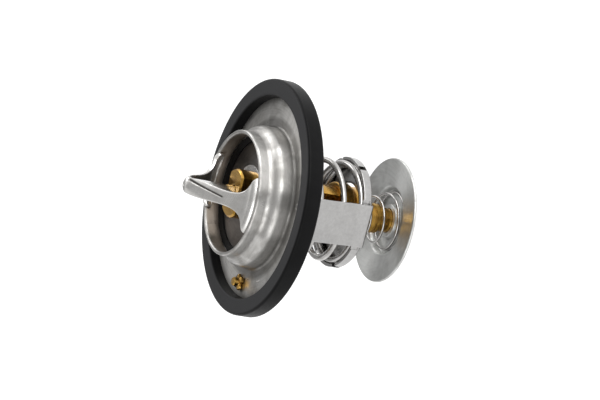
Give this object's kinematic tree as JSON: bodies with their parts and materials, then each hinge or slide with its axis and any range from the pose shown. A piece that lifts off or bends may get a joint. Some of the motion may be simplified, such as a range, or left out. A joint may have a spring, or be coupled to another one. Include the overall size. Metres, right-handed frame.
{
  "type": "engine thermostat",
  "caption": "Wax-element engine coolant valve with a rubber-edged flange, a bridge, a spring cage and a sprung bypass disc.",
  "frame": {"origin": "on the axis, at half the thickness of the rubber seal", "axes": "+Z along the axis, from the bypass disc to the bridge; the bridge and the cage legs lie in the XZ plane; the jiggle pin is at -Y"},
  "size_m": [0.066, 0.066, 0.0657],
  "materials": {
    "flange_steel": "satin stainless sheet, drawn",
    "bridge_steel": "bright stainless sheet, drawn",
    "cage_steel": "bright stainless sheet, polished",
    "spring_steel": "drawn stainless wire",
    "piston_steel": "ground pin",
    "plate_steel": "stamped stainless sheet",
    "disc_steel": "bright stainless sheet",
    "guide_brass": "turned brass",
    "cup_brass": "drawn brass",
    "pin_brass": "turned brass",
    "seal_rubber": "moulded rubber",
    "valve_rubber": "moulded rubber",
    "boot_rubber": "moulded rubber",
    "backing_plastic": "white plastic",
    "wax": "copper-filled wax"
  },
  "bodies": {
    "housing": {"flange_shell": "flange_steel", "seal_ring": "seal_rubber", "bridge": "bridge_steel", "cage": "cage_steel", "main_spring": "spring_steel", "piston": "piston_steel"},
    "element": {"valve_plate": "plate_steel", "valve_rubber": "valve_rubber", "snap_ring": "spring_steel", "guide": "guide_brass", "wax_cup": "cup_brass", "wax_charge": "wax", "rubber_boot": "boot_rubber", "backing_ring": "backing_plastic", "bypass_spring": "spring_steel", "stem_clip": "spring_steel"},
    "bypass": {"bypass_disc": "disc_steel"},
    "vent_pin": {"jiggle_pin": "pin_brass"}
  },
  "joints": [
    {"name": "valve_lift", "type": "slide", "parent": "housing", "child": "element", "axis": [0, 0, -1], "range_m": [0, 0.008], "stiffness_N_per_m": 1300, "springref_m": -0.02, "deforming": ["main_spring"]},
    {"name": "bypass_slide", "type": "slide", "parent": "element", "child": "bypass", "axis": [0, 0, 1], "range_m": [0, 0.0032], "stiffness_N_per_m": 530, "springref_m": -0.01, "deforming": ["bypass_spring"]},
    {"name": "jiggle_play", "type": "slide", "parent": "housing", "child": "vent_pin", "axis": [0, 0, 1], "range_m": [0, 0.0012]}
  ]
}
